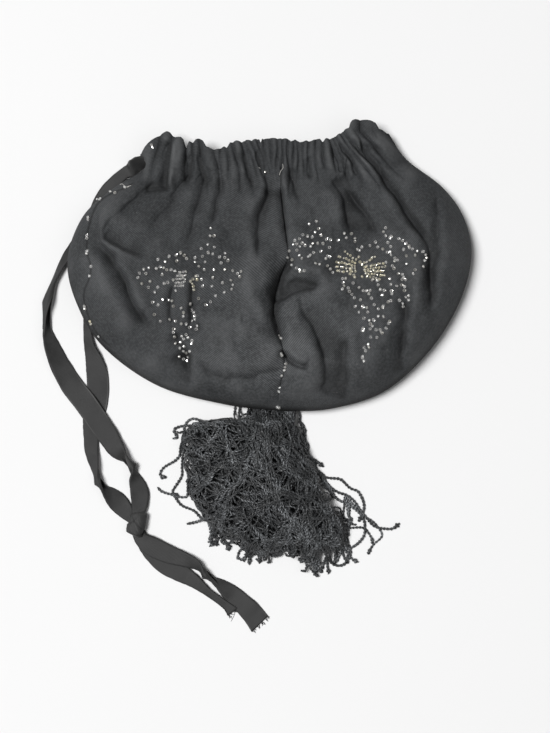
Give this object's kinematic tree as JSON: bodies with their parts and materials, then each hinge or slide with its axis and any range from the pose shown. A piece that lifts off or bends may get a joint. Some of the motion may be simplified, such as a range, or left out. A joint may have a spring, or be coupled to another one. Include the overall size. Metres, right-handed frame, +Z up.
{
  "type": "drawstring purse",
  "caption": "Soft cloth drawstring purse with a gathered mouth, floral beadwork on the front, a knotted flat ribbon drawstring and a cord tassel, lying on its back.",
  "frame": {"origin": "on the flat of the back, where the purse rests, under the middle of the bag", "axes": "+Z up out of the beaded front, +Y from the tassel to the mouth"},
  "size_m": [0.2668, 0.3119, 0.0374],
  "materials": {
    "cloth": "matt fine twill",
    "ribbon": "fine ribbed ribbon, slight sheen",
    "cord": "twisted cord, matt",
    "beads": "faceted steel beads"
  },
  "bodies": {
    "root": {"front_left_gore": "cloth", "front_right_gore": "cloth", "back_left_gore": "cloth", "back_right_gore": "cloth", "ribbon_in_casing": "ribbon", "ribbon_upper_strand": "ribbon", "ribbon_lower_strand": "ribbon", "ribbon_knot": "ribbon", "ribbon_long_end": "ribbon", "ribbon_short_end": "ribbon", "beadwork_left": "beads", "beadwork_right": "beads", "tassel_skirt": "cord"}
  },
  "joints": []
}
